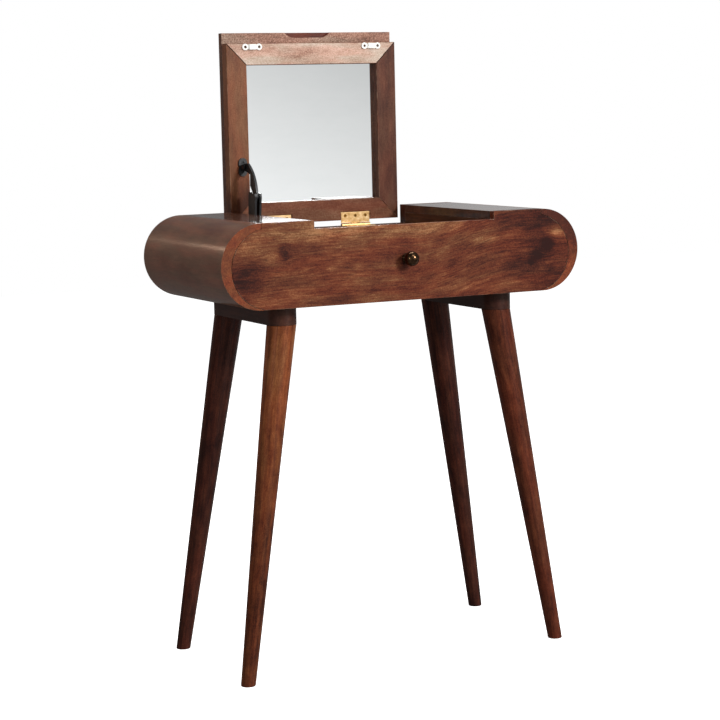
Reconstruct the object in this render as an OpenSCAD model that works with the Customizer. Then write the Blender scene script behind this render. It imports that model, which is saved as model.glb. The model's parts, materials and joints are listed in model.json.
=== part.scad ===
// Vanity table on four splayed legs, with a lift-up mirror lid and one drawer.
// Lengths are in millimetres. X runs across the front, Y to the back and Z up.
// The origin is on the floor, under the middle of the object with its lid open.

/* [Carcass] */
// Height of the table top above the floor
table_h = 760; // [700:5:820]
// Width of the carcass over its round ends
body_w = 668; // [640:2:720]
// Depth of the carcass, front to back
body_d = 338; // [330:2:360]
// Height of the carcass
body_h = 140; // [138:1:150]
// Thickness of the flat boards
board_t = 14; // [12:0.5:14]
// Thickness of the back panel, which carries the hinges
back_t = 20; // [20:1:24]
// Wall thickness of the curved end caps
cap_wall = 18; // [16:1:20]
// Straight run of each end cap before it meets the flat boards
cap_straight = 2; // [1:1:6]
// How far the round ends of the front panel sit inside the end caps
seat_lip = 18; // [16:1:20]

/* [Lid and mirror] */
// Width of the opening in the table top
open_w = 336; // [320:2:340]
// Gap on each side of the lid
lid_side_gap = 2; // [1:0.5:3]
// Thickness of the lid board
lid_t = 13; // [12:0.5:14]
// Thickness of the mirror frame
frame_t = 19; // [18:0.5:20]
// Width of the mirror frame's members
frame_w = 38; // [34:1:42]
// Depth of the mirror's face below the face of its frame
mirror_depth = 14; // [12:0.5:15]
// Distance from the hinge axis to the lid's rear edge
lid_rear = 8.5; // [6:0.5:10]
// How far the closed lid stands out over the front
lid_nose = 3.5; // [1:0.5:5]
// Gap between the frame's front edge and the drawer front, lid closed
frame_front_gap = 1; // [0.5:0.5:2]
// Width of the finger recess at the lid's edge
recess_w = 89; // [70:1:100]
// Length of the finger recess's flat floor
recess_floor = 51; // [40:1:60]
// How far the finger recess reaches in from the lid's edge
recess_reach = 9; // [7:0.5:11]
// How deep the finger recess goes into the lid
recess_depth = 8; // [6:0.5:9]

/* [Hinges] */
// Distance of each hinge's middle from the centre line
hinge_x = 78.5; // [70:0.5:100]
// Length of a hinge
hinge_len = 57; // [50:1:64]
// Width of a hinge leaf, from its pin to its edge
leaf_w = 23; // [20:0.5:23]
// Thickness of a hinge leaf
leaf_t = 1.6; // [1.2:0.2:2]
// Radius of a hinge knuckle
knuckle_r = 3.5; // [3:0.5:4]

/* [Drawer] */
// Width of the drawer box
drawer_w = 252; // [220:2:252]
// Height of the drawer box
drawer_h = 60; // [50:1:60]
// Depth of the drawer box behind its front
drawer_d = 290; // [240:5:290]
// Thickness of the drawer's sides
drawer_t = 12; // [9:1:12]
// Gap between the drawer front and the end caps
front_gap = 0.6; // [0.4:0.1:1]
// Radius of the knob's ball
knob_r = 12.5; // [10:0.5:13]
// How far the knob stands out from the drawer front
knob_reach = 30; // [28:1:34]

/* [Legs] */
// Distance of the feet from the centre line, left to right
foot_x = 296.5; // [270:0.5:310]
// Distance of the feet from the centre line, front to back
foot_y = 141; // [125:0.5:150]
// Distance of the leg tops from the centre line, left to right
leg_top_x = 204; // [190:1:220]
// Distance of the leg tops from the centre line, front to back
leg_top_y = 109; // [100:1:120]
// Diameter of a leg at its foot
foot_dia = 24.5; // [22:0.5:30]
// Diameter of a leg at its top
leg_dia = 49; // [44:1:50]
// Thickness of the battens under the carcass
batten_t = 31.5; // [28:0.5:34]

/* [Lid stay] */
// Distance of the stay's arms from the centre line
stay_x = 139.5; // [139:0.5:141]
// Width of the stay's lower arm, seen from the side
lower_arm_w = 28; // [24:1:28]
// Width of the stay's upper arm near its lower end
upper_arm_w = 23; // [20:1:24]

/* [Hidden] */
$fn = 64;

// Carcass: levels, joints between boards, and front-to-back planes
z_top = table_h;
z_bottom = table_h - body_h;
end_r = body_h / 2;
z_mid = z_bottom + end_r;
end_x = body_w / 2 - end_r;
joint_x = end_x - cap_straight;
seat_r = end_r - 4;
seat_x = body_w / 2 - seat_lip - seat_r;
hinge_gap = 0.5;
back_reach = knuckle_r + hinge_gap + frame_t + lid_t;
body_y = (knob_reach - back_reach) / 2;
y_front = body_y - body_d / 2;
y_back = body_y + body_d / 2;
y_inside = y_front + board_t + 0.5;
y_back_inside = y_back - back_t;
boards_d = y_back_inside - y_inside;
divider_x = open_w / 2;
z_floor = z_bottom + board_t;
z_under_top = z_top - board_t;

// Lid, standing upright behind the hinge axis
y_hinge = y_back + knuckle_r;
z_hinge = z_top - lid_t - frame_t - hinge_gap;
lid_w = open_w - 2 * lid_side_gap;
y_face = y_hinge + hinge_gap;
y_lid = y_face + frame_t;
lid_front = y_hinge - y_front + lid_nose;
frame_front = y_hinge - (y_front + board_t) - frame_front_gap;
frame_h = frame_front - lid_rear;
rabbet = 6;
notch_depth = lid_t + 0.5;
recess_curve = (pow((recess_w - recess_floor) / 2, 2) + pow(recess_reach, 2)) / (2 * recess_reach);

// Hinge screws
hinge_sides = [-1, 1];
leaf_screw_pitch = 20.5;
leaf_screw_s = 16.5;
pin_r = 1.2;
knuckle_len = hinge_len / 3;

// Catches and their strike plates
catch_x = 117;
catch_ear = 13.25;
catch_r = 5.75;
catch_block = [13, 9.5];
catch_neck = 8;
catch_ear_t = 2.5;
catch_s = frame_front - 6.3;
catch_proud = 5;
strike_t = 1.2;
strike_gap = 0.4;
rail_d = 18;
rail_h = 20;
z_rail_top = z_hinge + hinge_gap - catch_proud - strike_gap - strike_t;

// Lid stay: points are [distance in front of the hinge axis, height above it]
wall_pivot = [35, -50];
lid_pivot = [11, 111];
elbow = wall_pivot + lid_pivot;
lower_arm_t = 13;
upper_arm_t = 4;
upper_arm_end = 7;
lower_arm_end = 11;
elbow_reach = 6.5;
stay_pin_r = 2.5;
shaft_r = 3;
damper_r = 11;
plate_x = 141.6;
plate_t = 3;
plate_lobe = 8;
lug_t = 4.2;
stay_clear = 0.4;

// Drawer
z_drawer = z_floor + 5.3;
drawer_x = drawer_w / 2;
drawer_back_y = y_front + board_t + drawer_d;
groove = 4;
bottom_t = 6;
z_knob = z_mid;

// Legs
z_leg_top = z_bottom - batten_t;
batten_r = 25;
leg_dx = foot_x - leg_top_x;
leg_dy = foot_y - leg_top_y;
leg_tilt = atan2(norm([leg_dx, leg_dy]), z_leg_top);
leg_len = norm([leg_dx, leg_dy, z_leg_top]);
leg_slope = (leg_dia - foot_dia) / 2 / leg_len;
leg_turn = 50;
corners = [[-1, -1], [1, -1], [-1, 1], [1, 1]];
insert_r = 6.5;
insert_len = 20;
bolt_r = 4;
bolt_depth = 35;

// Screws as [radius, length], dowels and brads
batten_screw = [2.5, 42];
back_screw = [2, 40];
body_leaf_screw = [1.5, 16];
lid_screw = [1.5, 15];
catch_screw = [1.25, 13];
damper_screw = [1.75, 11];
front_screw = [1.75, 22];
side_screw = [1.75, 30];
batten_screw_step = 50;
damper_screw_step = 20;
back_screw_z = [z_floor + 15, z_hinge - 36];
dowel_r = 3;
dowel_len = 24;
cap_dowel_step = 100;
divider_dowel_step = 90;
brad_r = 0.8;
brad_len = 28;
brad_x = 141;

front_wood = [0.44, 0.25, 0.17];
end_wood = [0.58, 0.33, 0.21];
top_wood = [0.36, 0.24, 0.20];
inner_wood = [0.30, 0.18, 0.13];
leg_wood = [0.33, 0.16, 0.11];
brass = [0.80, 0.62, 0.30];
steel = [0.70, 0.70, 0.70];

// ---- Shared shapes ----

// Extrudes an outline drawn in X and Z along Y, from y0
module along_y(y0, depth) {
    translate([0, y0 + depth, 0])
        rotate([90, 0, 0])
            linear_extrude(depth) children();
}

// Extrudes an outline drawn as [forward, up] of the hinge axis along X, from x0
module along_x(x0, depth) {
    translate([x0 + depth, y_hinge, z_hinge])
        rotate([90, 0, -90])
            linear_extrude(depth) children();
}

// Box from one corner to the opposite one
module block(low, high) {
    translate(low) cube(high - low);
}

// Outline of a bar with round ends between two points
module bar_outline(p, q, w) {
    length = norm(q - p);
    for (end = [p, q])
        translate(end) circle(d = w);
    translate(p)
        rotate(atan2(q[1] - p[1], q[0] - p[0]))
            translate([0, -w / 2]) square([length, w]);
}

// Bar between two round ends of different radii
module taper_outline(p, q, p_r, q_r) {
    across = [p[1] - q[1], q[0] - p[0]] / norm(q - p);
    translate(p) circle(r = p_r);
    translate(q) circle(r = q_r);
    polygon([p + across * p_r, p - across * p_r, q - across * q_r, q + across * q_r]);
}

// Countersunk screw along +Z, its head's flat face at z = 0 and its tip below it
module screw(size) {
    r = size[0];
    length = size[1];
    translate([0, 0, -2 * r])
        cylinder(r1 = r, r2 = 2 * r, h = r);
    translate([0, 0, -r])
        cylinder(r = 2 * r, h = r);
    translate([0, 0, -length])
        cylinder(r = r, h = length - 1.5 * r);
}

// Outline of the whole carcass from the front
module carcass_outline() {
    for (side = [-1, 1])
        translate([side * end_x, z_mid]) circle(r = end_r, $fn = 128);
    translate([-end_x, z_bottom]) square([2 * end_x, body_h]);
}

// Outline of the front and back panels, smaller than their seats by a gap
module panel_outline(gap) {
    for (side = [-1, 1])
        translate([side * seat_x, z_bottom + seat_r]) circle(r = seat_r - gap, $fn = 128);
    translate([gap - joint_x, z_bottom]) square([2 * (joint_x - gap), body_h]);
}

// ---- Carcass ----

module dowel_places() {
    // along X, between the end caps and the boards
    for (side = [-1, 1], z = [z_top - board_t / 2, z_bottom + board_t / 2], step = [-1, 0, 1])
        translate([side * joint_x, body_y + step * cap_dowel_step, z])
            rotate([0, 90, 0]) children();
    // along Z, between the dividers and the boards
    for (side = [-1, 1], z = [z_under_top, z_floor], step = [-1, 0, 1])
        translate([side * (divider_x + board_t / 2), body_y + step * divider_dowel_step, z]) children();
    // along X, between the front rail and the dividers
    for (side = [-1, 1])
        translate([side * divider_x, y_inside + rail_d / 2, z_rail_top - rail_h / 2])
            rotate([0, 90, 0]) children();
}

module dowel_holes() {
    dowel_places() cylinder(r = dowel_r, h = dowel_len / 2, center = true);
}

module dowels() {
    color(inner_wood)
        dowel_places() cylinder(r = dowel_r, h = dowel_len / 2 - 0.4, center = true);
}

module end_cap(side) {
    low_x = side > 0 ? joint_x : -joint_x - 2 * end_r;
    color(end_wood)
        difference() {
            along_y(y_front, body_d)
                difference() {
                    intersection() {
                        carcass_outline();
                        translate([low_x, z_bottom]) square([2 * end_r, body_h]);
                    }
                    translate([side * end_x, z_mid]) circle(r = end_r - cap_wall, $fn = 128);
                    translate([side > 0 ? joint_x - 1 : -end_x, z_bottom + cap_wall])
                        square([cap_straight + 1, body_h - 2 * cap_wall]);
                }
            along_y(y_front - 1, board_t + 1.5) panel_outline(0);
            along_y(y_back_inside, back_t + 1) panel_outline(0);
            dowel_holes();
        }
}

module end_cap_left() {
    end_cap(-1);
}

module end_cap_right() {
    end_cap(1);
}

module top_board(side) {
    low_x = side > 0 ? divider_x : -joint_x;
    color(top_wood)
        difference() {
            block([low_x, y_inside, z_under_top],
                  [low_x + joint_x - divider_x, y_back_inside, z_top]);
            dowel_holes();
        }
}

module top_board_left() {
    top_board(-1);
}

module top_board_right() {
    top_board(1);
}

module bottom_board() {
    color(inner_wood)
        difference() {
            block([-joint_x, y_inside, z_bottom], [joint_x, y_back_inside, z_floor]);
            dowel_holes();
            batten_screw_places() screw(batten_screw);
        }
}

module back_panel() {
    color(top_wood)
        difference() {
            along_y(y_back_inside, back_t)
                difference() {
                    panel_outline(0);
                    translate([-divider_x, z_hinge - hinge_gap]) square([open_w, body_h]);
                }
            for (side = hinge_sides)
                block([side * hinge_x - hinge_len / 2 - 0.3, y_back_inside - 1,
                       z_hinge - hinge_gap - leaf_t],
                      [side * hinge_x + hinge_len / 2 + 0.3, y_back + 1, z_top]);
            hinge_body_screw_places() screw(body_leaf_screw);
            back_screw_places() screw(back_screw);
        }
}

module divider(side) {
    low_x = side > 0 ? divider_x : -divider_x - board_t;
    color(inner_wood)
        difference() {
            block([low_x, y_inside, z_floor], [low_x + board_t, y_back_inside, z_under_top]);
            dowel_holes();
            back_screw_places() screw(back_screw);
            stay_damper_screw_places() screw(damper_screw);
        }
}

module divider_left() {
    divider(-1);
}

module divider_right() {
    divider(1);
}

module front_rail() {
    color(inner_wood)
        difference() {
            block([-divider_x, y_inside, z_rail_top - rail_h],
                  [divider_x, y_inside + rail_d, z_rail_top]);
            dowel_holes();
            for (side = [-1, 1])
                translate([side * catch_x, y_hinge - catch_s, z_rail_top])
                    cylinder(r = 1.5, h = 24, center = true);
        }
}

// Wooden runner: a ledge under the drawer's side and a guide beside it
module drawer_runner(side) {
    ledge_x = drawer_x - drawer_t;
    guide_x = drawer_x + 0.5;
    color(inner_wood)
        mirror([side > 0 ? 0 : 1, 0, 0])
            union() {
                block([ledge_x, y_inside, z_floor], [divider_x, y_back_inside, z_floor + 5]);
                block([guide_x, y_inside, z_floor], [divider_x, y_back_inside, z_floor + 16]);
            }
}

module drawer_runner_left() {
    drawer_runner(-1);
}

module drawer_runner_right() {
    drawer_runner(1);
}

module drawer_stops() {
    color(inner_wood)
        for (side = [-1, 1])
            translate([side * (drawer_x - 14), drawer_back_y + 0.4, z_floor + 5])
                translate([-8, 0, 0])
                    cube([16, y_back_inside - drawer_back_y - 0.4, 18]);
}

module back_screw_places() {
    for (side = [-1, 1], z = back_screw_z)
        translate([side * (divider_x + board_t / 2), y_back, z])
            rotate([-90, 0, 0]) children();
}

module back_screws() {
    color(steel) back_screw_places() screw(back_screw);
}

// ---- Battens and legs ----

module batten_screw_places() {
    for (side = [-1, 1], step = [-1, 0, 1])
        translate([side * leg_top_x, body_y + step * batten_screw_step, z_leg_top])
            rotate([180, 0, 0]) children();
}

// Puts its children at a leg's top, with +Z along the leg and away from the floor
module at_leg_top(corner) {
    translate([corner[0] * leg_top_x, body_y + corner[1] * leg_top_y, z_leg_top])
        rotate([0, leg_tilt, atan2(-corner[1] * leg_dy, -corner[0] * leg_dx)])
            rotate(leg_turn) children();
}

module leg_insert_holes() {
    for (corner = corners)
        at_leg_top(corner)
            translate([0, 0, -5]) cylinder(r = insert_r, h = insert_len + 5);
}

module batten(side) {
    color(leg_wood)
        difference() {
            union() {
                for (step = [-1, 1])
                    translate([side * leg_top_x, body_y + step * leg_top_y, z_leg_top])
                        cylinder(r = batten_r, h = batten_t);
                block([side * leg_top_x - batten_r, body_y - leg_top_y, z_leg_top],
                      [side * leg_top_x + batten_r, body_y + leg_top_y, z_bottom]);
            }
            leg_insert_holes();
            batten_screw_places() screw(batten_screw);
        }
}

module batten_left() {
    batten(-1);
}

module batten_right() {
    batten(1);
}

module leg(corner) {
    over = 10;
    color(leg_wood)
        difference() {
            intersection() {
                at_leg_top(corner)
                    translate([0, 0, -leg_len - over])
                        cylinder(r1 = foot_dia / 2 - leg_slope * over,
                                 r2 = leg_dia / 2 + leg_slope * over,
                                 h = leg_len + 2 * over);
                translate([0, body_y, z_leg_top / 2])
                    cube([2 * body_w, 2 * body_d, z_leg_top], center = true);
            }
            at_leg_top(corner)
                translate([0, 0, -bolt_depth - 1]) cylinder(r = bolt_r, h = bolt_depth + insert_len);
        }
}

module leg_front_left() {
    leg(corners[0]);
}

module leg_front_right() {
    leg(corners[1]);
}

module leg_back_left() {
    leg(corners[2]);
}

module leg_back_right() {
    leg(corners[3]);
}

// Threaded inserts in the battens, kept just inside the batten's underside
module leg_inserts() {
    color(brass)
        for (corner = corners)
            at_leg_top(corner)
                difference() {
                    translate([0, 0, 1.2]) cylinder(r = insert_r, h = insert_len - 1.4);
                    cylinder(r = bolt_r, h = 2 * insert_len);
                }
}

module leg_bolts() {
    color(steel)
        for (corner = corners)
            at_leg_top(corner)
                translate([0, 0, -bolt_depth]) cylinder(r = bolt_r, h = bolt_depth + insert_len - 2);
}

module batten_screws() {
    color(steel) batten_screw_places() screw(batten_screw);
}

// ---- Hinges ----

module hinge_body_screw_places() {
    for (side = hinge_sides, step = [-1, 0, 1])
        translate([side * hinge_x + step * leaf_screw_pitch, y_hinge - leaf_screw_s,
                   z_hinge - hinge_gap])
            children();
}

module hinge_lid_screw_places() {
    for (side = hinge_sides, step = [-1, 0, 1])
        translate([side * hinge_x + step * leaf_screw_pitch, y_face,
                   z_hinge + leaf_screw_s])
            rotate([90, 0, 0]) children();
}

// Leaf and outer knuckles on the back panel's edge
module hinge_body_leaf(side) {
    color(brass)
        difference() {
            translate([side * hinge_x, 0, 0])
                difference() {
                    union() {
                        block([-hinge_len / 2, y_hinge - leaf_w, z_hinge - hinge_gap - leaf_t],
                              [hinge_len / 2, y_hinge, z_hinge - hinge_gap]);
                        translate([-hinge_len / 2, y_hinge, z_hinge])
                            rotate([0, 90, 0]) cylinder(r = knuckle_r, h = hinge_len);
                    }
                    translate([-knuckle_len / 2, y_hinge - knuckle_r - 0.4,
                               z_hinge - knuckle_r - 1])
                        cube([knuckle_len, 2 * knuckle_r + 1, 2 * knuckle_r + 2]);
                    translate([-hinge_len, y_hinge, z_hinge])
                        rotate([0, 90, 0]) cylinder(r = pin_r, h = 2 * hinge_len);
                }
            hinge_body_screw_places() screw(body_leaf_screw);
        }
}

module hinge_body_leaf_left() {
    hinge_body_leaf(-1);
}

module hinge_body_leaf_right() {
    hinge_body_leaf(1);
}

// Leaf and middle knuckle on the mirror frame
module hinge_lid_leaf(side) {
    gap = 0.3;
    color(brass)
        difference() {
            translate([side * hinge_x, 0, 0])
                difference() {
                    union() {
                        block([-hinge_len / 2, y_face, z_hinge + knuckle_r + 0.4],
                              [hinge_len / 2, y_face + leaf_t, z_hinge + leaf_w]);
                        block([gap - knuckle_len / 2, y_face, z_hinge],
                              [knuckle_len / 2 - gap, y_face + leaf_t, z_hinge + knuckle_r + 1]);
                        translate([gap - knuckle_len / 2, y_hinge, z_hinge])
                            rotate([0, 90, 0])
                                cylinder(r = knuckle_r, h = knuckle_len - 2 * gap);
                    }
                    translate([-hinge_len, y_hinge, z_hinge])
                        rotate([0, 90, 0]) cylinder(r = pin_r + 0.05, h = 2 * hinge_len);
                }
            hinge_lid_screw_places() screw(lid_screw);
        }
}

module hinge_lid_leaf_left() {
    hinge_lid_leaf(-1);
}

module hinge_lid_leaf_right() {
    hinge_lid_leaf(1);
}

module hinge_pins() {
    color(brass)
        for (side = hinge_sides)
            translate([side * hinge_x - hinge_len / 2, y_hinge, z_hinge])
                rotate([0, 90, 0]) cylinder(r = pin_r, h = hinge_len);
}

module hinge_body_screws() {
    color(brass) hinge_body_screw_places() screw(body_leaf_screw);
}

module hinge_lid_screws() {
    color(brass) hinge_lid_screw_places() screw(lid_screw);
}

// ---- Lid, drawn open ----

module lid_board() {
    edge = z_hinge + lid_front;
    color(top_wood)
        difference() {
            block([-lid_w / 2, y_lid, z_hinge + lid_rear], [lid_w / 2, y_lid + lid_t, edge]);
            along_y(y_lid - 1, recess_depth + 1)
                union() {
                    translate([-recess_floor / 2, edge - recess_reach])
                        square([recess_floor, recess_reach + 1]);
                    for (side = [-1, 1])
                        translate([side * recess_floor / 2, edge - recess_reach + recess_curve])
                            circle(r = recess_curve);
                }
            brad_places() cylinder(r = brad_r, h = brad_len);
        }
}

// Outline of the mitred frame's member on one side: 0 bottom, 1 right, 2 top, 3 left
module member_outline(index) {
    half_w = lid_w / 2;
    half_h = frame_h / 2;
    long = index % 2 == 0 ? half_w : half_h;
    out = index % 2 == 0 ? half_h : half_w;
    translate([0, z_hinge + lid_rear + half_h])
        rotate(index * 90)
            polygon([[-long, -out], [long, -out],
                     [long - frame_w, frame_w - out], [frame_w - long, frame_w - out]]);
}

module frame_member(index) {
    glass_half = lid_w / 2 - frame_w + rabbet;
    color(end_wood)
        difference() {
            along_y(y_face, frame_t) member_outline(index);
            block([-glass_half, y_face + mirror_depth, z_hinge + lid_rear + frame_w - rabbet],
                  [glass_half, y_lid + 1, z_hinge + frame_front - frame_w + rabbet]);
            for (side = hinge_sides)
                block([side * hinge_x - hinge_len / 2 - 0.3, y_face - 1, z_hinge],
                      [side * hinge_x + hinge_len / 2 + 2.5, y_face + leaf_t,
                       z_hinge + leaf_w + 1]);
            hinge_lid_screw_places() screw(lid_screw);
            catch_screw_places() screw(catch_screw);
            stay_lid_screw_places() screw(lid_screw);
            brad_places() cylinder(r = brad_r, h = brad_len);
        }
}

module frame_top() {
    frame_member(2);
}

module frame_bottom() {
    frame_member(0);
}

module frame_left() {
    frame_member(3);
}

module frame_right() {
    frame_member(1);
}

module mirror_glass() {
    half = lid_w / 2 - frame_w + rabbet - 0.5;
    color([0.85, 0.88, 0.90])
        block([-half, y_face + mirror_depth, z_hinge + lid_rear + frame_w - rabbet + 0.5],
              [half, y_lid - 1, z_hinge + frame_front - frame_w + rabbet - 0.5]);
}

module mirror_backing() {
    half = lid_w / 2 - frame_w + rabbet - 0.5;
    color([0.2, 0.2, 0.2])
        block([-half, y_lid - 1, z_hinge + lid_rear + frame_w - rabbet + 0.5],
              [half, y_lid, z_hinge + frame_front - frame_w + rabbet - 0.5]);
}

// Brads that hold the frame to the lid, their heads just below the frame's face
module brad_places() {
    side_x = lid_w / 2 - frame_w / 2;
    rows = concat([for (x = [-brad_x, 0, brad_x]) [x, frame_front - 10]],
                  [for (x = [-brad_x, 0, brad_x]) [x, lid_rear + 12]],
                  [for (x = [-side_x, side_x], s = [75, 180, 285]) [x, s]]);
    for (row = rows)
        translate([row[0], y_face + 0.3, z_hinge + row[1]])
            rotate([-90, 0, 0]) children();
}

module frame_brads() {
    color([0.3, 0.25, 0.2]) brad_places() cylinder(r = brad_r, h = brad_len);
}

module catch_screw_places() {
    for (side = [-1, 1], ear = [-1, 1])
        translate([side * catch_x + ear * catch_ear, y_face - catch_ear_t, z_hinge + catch_s])
            rotate([90, 0, 0]) children();
}

// Magnetic catch: a block with the magnet, between two screwed ears
module catch(side) {
    x = side * catch_x;
    z = z_hinge + catch_s;
    color([0.93, 0.93, 0.90])
        difference() {
            union() {
                along_y(y_face - catch_ear_t, catch_ear_t)
                    union() {
                        for (ear = [-1, 1])
                            translate([x + ear * catch_ear, z]) circle(r = catch_r);
                        translate([x - catch_ear, z - catch_neck / 2])
                            square([2 * catch_ear, catch_neck]);
                    }
                block([x - catch_block.x / 2, y_face - catch_proud, z - catch_block.y / 2],
                      [x + catch_block.x / 2, y_face, z + catch_block.y / 2]);
            }
            catch_screw_places() screw(catch_screw);
        }
}

module catch_left() {
    catch(-1);
}

module catch_right() {
    catch(1);
}

module catch_screws() {
    color(steel) catch_screw_places() screw(catch_screw);
}

// Steel plates on the front rail that the magnets hold, each with its screw
module strike_plates() {
    color(steel)
        for (side = [-1, 1])
            translate([side * catch_x, y_hinge - catch_s, z_rail_top]) {
                translate([-16, -5.5, 0]) cube([32, 11, strike_t]);
                translate([0, 0, -11]) cylinder(r = 1.5, h = 11.5);
            }
}

// ---- Lid stay ----

module stay_damper_screw_places() {
    for (step = [-1, 1])
        translate([2 - divider_x, y_hinge - wall_pivot[0],
                   z_hinge + wall_pivot[1] + step * damper_screw_step])
            rotate([0, 90, 0]) children();
}

// Damper drum on its base plate, screwed to the left divider
module stay_damper() {
    base_t = 2;
    drum_end = -stay_x - lower_arm_t / 2 - stay_clear;
    color([0.12, 0.12, 0.13])
        difference() {
            union() {
                along_x(-divider_x, base_t)
                    bar_outline(wall_pivot - [0, damper_screw_step],
                                wall_pivot + [0, damper_screw_step], 14);
                along_x(-divider_x, drum_end + divider_x)
                    translate(wall_pivot) circle(r = damper_r);
            }
            stay_damper_screw_places() screw(damper_screw);
            along_x(-divider_x + 4, 40) translate(wall_pivot) circle(r = shaft_r);
        }
}

module stay_damper_shaft() {
    color(steel)
        along_x(-divider_x + 4, divider_x - 4 - stay_x + lower_arm_t / 2 + 1)
            translate(wall_pivot) circle(r = shaft_r);
}

module stay_damper_screws() {
    color(steel) stay_damper_screw_places() screw(damper_screw);
}

// Lower arm: a box section with a fork at the elbow for the upper arm
module stay_lower_arm() {
    fork_w = upper_arm_t + 1.2;
    fork_reach = 42;
    angle = atan2(lid_pivot[1], lid_pivot[0]);
    color([0.13, 0.13, 0.14])
        difference() {
            along_x(-stay_x - lower_arm_t / 2, lower_arm_t)
                taper_outline(wall_pivot, elbow, lower_arm_end, lower_arm_w / 2);
            along_x(-stay_x - lower_arm_t, 2 * lower_arm_t)
                translate(elbow)
                    rotate(angle)
                        translate([elbow_reach, -lower_arm_w])
                            square([lower_arm_w, 2 * lower_arm_w]);
            along_x(-stay_x - fork_w / 2, fork_w)
                translate(elbow)
                    rotate(angle)
                        translate([-fork_reach, -lower_arm_w])
                            square([2 * fork_reach, 2 * lower_arm_w]);
            along_x(-stay_x - lower_arm_t, 2 * lower_arm_t)
                translate(wall_pivot) circle(r = shaft_r + 0.1);
            along_x(-stay_x - lower_arm_t, 2 * lower_arm_t)
                translate(elbow) circle(r = stay_pin_r);
        }
}

module stay_elbow_pin() {
    color(steel)
        along_x(-stay_x - lower_arm_t / 2, lower_arm_t)
            translate(elbow) circle(r = stay_pin_r);
}

// Upper arm: an arched flat bar from the elbow to the lid plate
module stay_upper_arm() {
    rise = 9;
    chord = lid_pivot - elbow;
    half = norm(chord) / 2;
    radius = (half * half + rise * rise) / (2 * rise);
    outward = [chord[1], -chord[0]] / norm(chord);
    middle = (elbow + lid_pivot) / 2 - outward * (radius - rise);
    back_edge = [elbow, elbow + [-16, 18], lid_pivot + [20, -12], lid_pivot + [3, -7]];
    front_edge = [lid_pivot + [3, upper_arm_end], lid_pivot + [24, upper_arm_end], elbow + [20, 0]];
    color([0.10, 0.10, 0.11])
        difference() {
            along_x(-stay_x - upper_arm_t / 2, upper_arm_t)
                union() {
                    translate(lid_pivot) circle(r = upper_arm_end);
                    translate(elbow) circle(r = upper_arm_w / 2 - 1);
                    intersection() {
                        translate(middle) circle(r = radius + upper_arm_w / 2 - 1);
                        polygon(concat(back_edge, front_edge));
                    }
                }
            along_x(-stay_x - lower_arm_t, 2 * lower_arm_t)
                for (end = [elbow, lid_pivot])
                    translate(end) circle(r = stay_pin_r + 0.15);
        }
}

module stay_lid_screw_places() {
    for (step = [-1, 1])
        translate([-plate_x, y_face - plate_t, z_hinge + lid_pivot[1] + step * plate_lobe])
            rotate([90, 0, 0]) children();
}

// Waisted plate on the mirror frame, with the lug that carries the upper arm
module stay_lid_plate() {
    waist_r = 5;
    lug_x = -stay_x - upper_arm_t / 2 - stay_clear - lug_t;
    centre = [-plate_x, z_hinge + lid_pivot[1]];
    color([0.11, 0.11, 0.12])
        difference() {
            union() {
                along_y(y_face - plate_t, plate_t)
                    difference() {
                        bar_outline(centre - [0, plate_lobe], centre + [0, plate_lobe], 16);
                        for (side = [-1, 1])
                            translate(centre + [side * 11.5, 0]) circle(r = waist_r);
                    }
                along_x(lug_x, lug_t)
                    bar_outline([plate_t / 2, lid_pivot[1]], lid_pivot, 8);
            }
            block([-divider_x, y_face, z_hinge], [0, y_face + 20, z_hinge + 200]);
            stay_lid_screw_places() screw(lid_screw);
            along_x(-divider_x, divider_x)
                translate(lid_pivot) circle(r = stay_pin_r - 0.5);
        }
}

module stay_lid_pin() {
    start = -stay_x - upper_arm_t / 2 - stay_clear - lug_t;
    color(steel)
        union() {
            along_x(start, lug_t + stay_clear)
                translate(lid_pivot) circle(r = stay_pin_r - 0.5);
            along_x(start + lug_t + 0.1, upper_arm_t + 1)
                translate(lid_pivot) circle(r = stay_pin_r - 0.2);
        }
}

module stay_lid_screws() {
    color(steel) stay_lid_screw_places() screw(lid_screw);
}

// ---- Drawer, drawn shut ----

module drawer_front() {
    color(front_wood)
        difference() {
            along_y(y_front, board_t)
                difference() {
                    panel_outline(front_gap);
                    translate([-divider_x, z_top - notch_depth]) square([open_w, body_h]);
                }
            knob_bolt_hole();
            front_screw_places() screw(front_screw);
        }
}

module knob_bolt_hole() {
    translate([0, y_front + board_t + drawer_t + 1, z_knob])
        rotate([90, 0, 0]) cylinder(r = 2, h = 60);
}

module front_screw_places() {
    for (side = [-1, 1], z = [z_drawer + 22, z_drawer + drawer_h - 10])
        translate([side * (drawer_x - 40), y_front + board_t + drawer_t, z])
            rotate([-90, 0, 0]) children();
}

module side_screw_places() {
    ends = [y_front + board_t + drawer_t / 2, drawer_back_y - drawer_t / 2];
    for (side = [-1, 1], y = ends, z = [z_drawer + 20, z_drawer + drawer_h - 12])
        translate([side * drawer_x, y, z])
            rotate([0, side * 90, 0]) children();
}

module bottom_groove(slack) {
    block([-drawer_x + drawer_t - groove + slack, y_front + board_t + drawer_t - groove + slack,
           z_drawer + 6],
          [drawer_x - drawer_t + groove - slack, drawer_back_y - drawer_t + groove - slack,
           z_drawer + 6 + bottom_t]);
}

module drawer_subfront() {
    color(inner_wood)
        difference() {
            block([-drawer_x + drawer_t, y_front + board_t, z_drawer],
                  [drawer_x - drawer_t, y_front + board_t + drawer_t, z_drawer + drawer_h]);
            bottom_groove(0);
            knob_bolt_hole();
            front_screw_places() screw(front_screw);
            side_screw_places() screw(side_screw);
        }
}

module drawer_side(side) {
    low_x = side > 0 ? drawer_x - drawer_t : -drawer_x;
    color(inner_wood)
        difference() {
            block([low_x, y_front + board_t, z_drawer],
                  [low_x + drawer_t, drawer_back_y, z_drawer + drawer_h]);
            bottom_groove(0);
            side_screw_places() screw(side_screw);
        }
}

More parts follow.
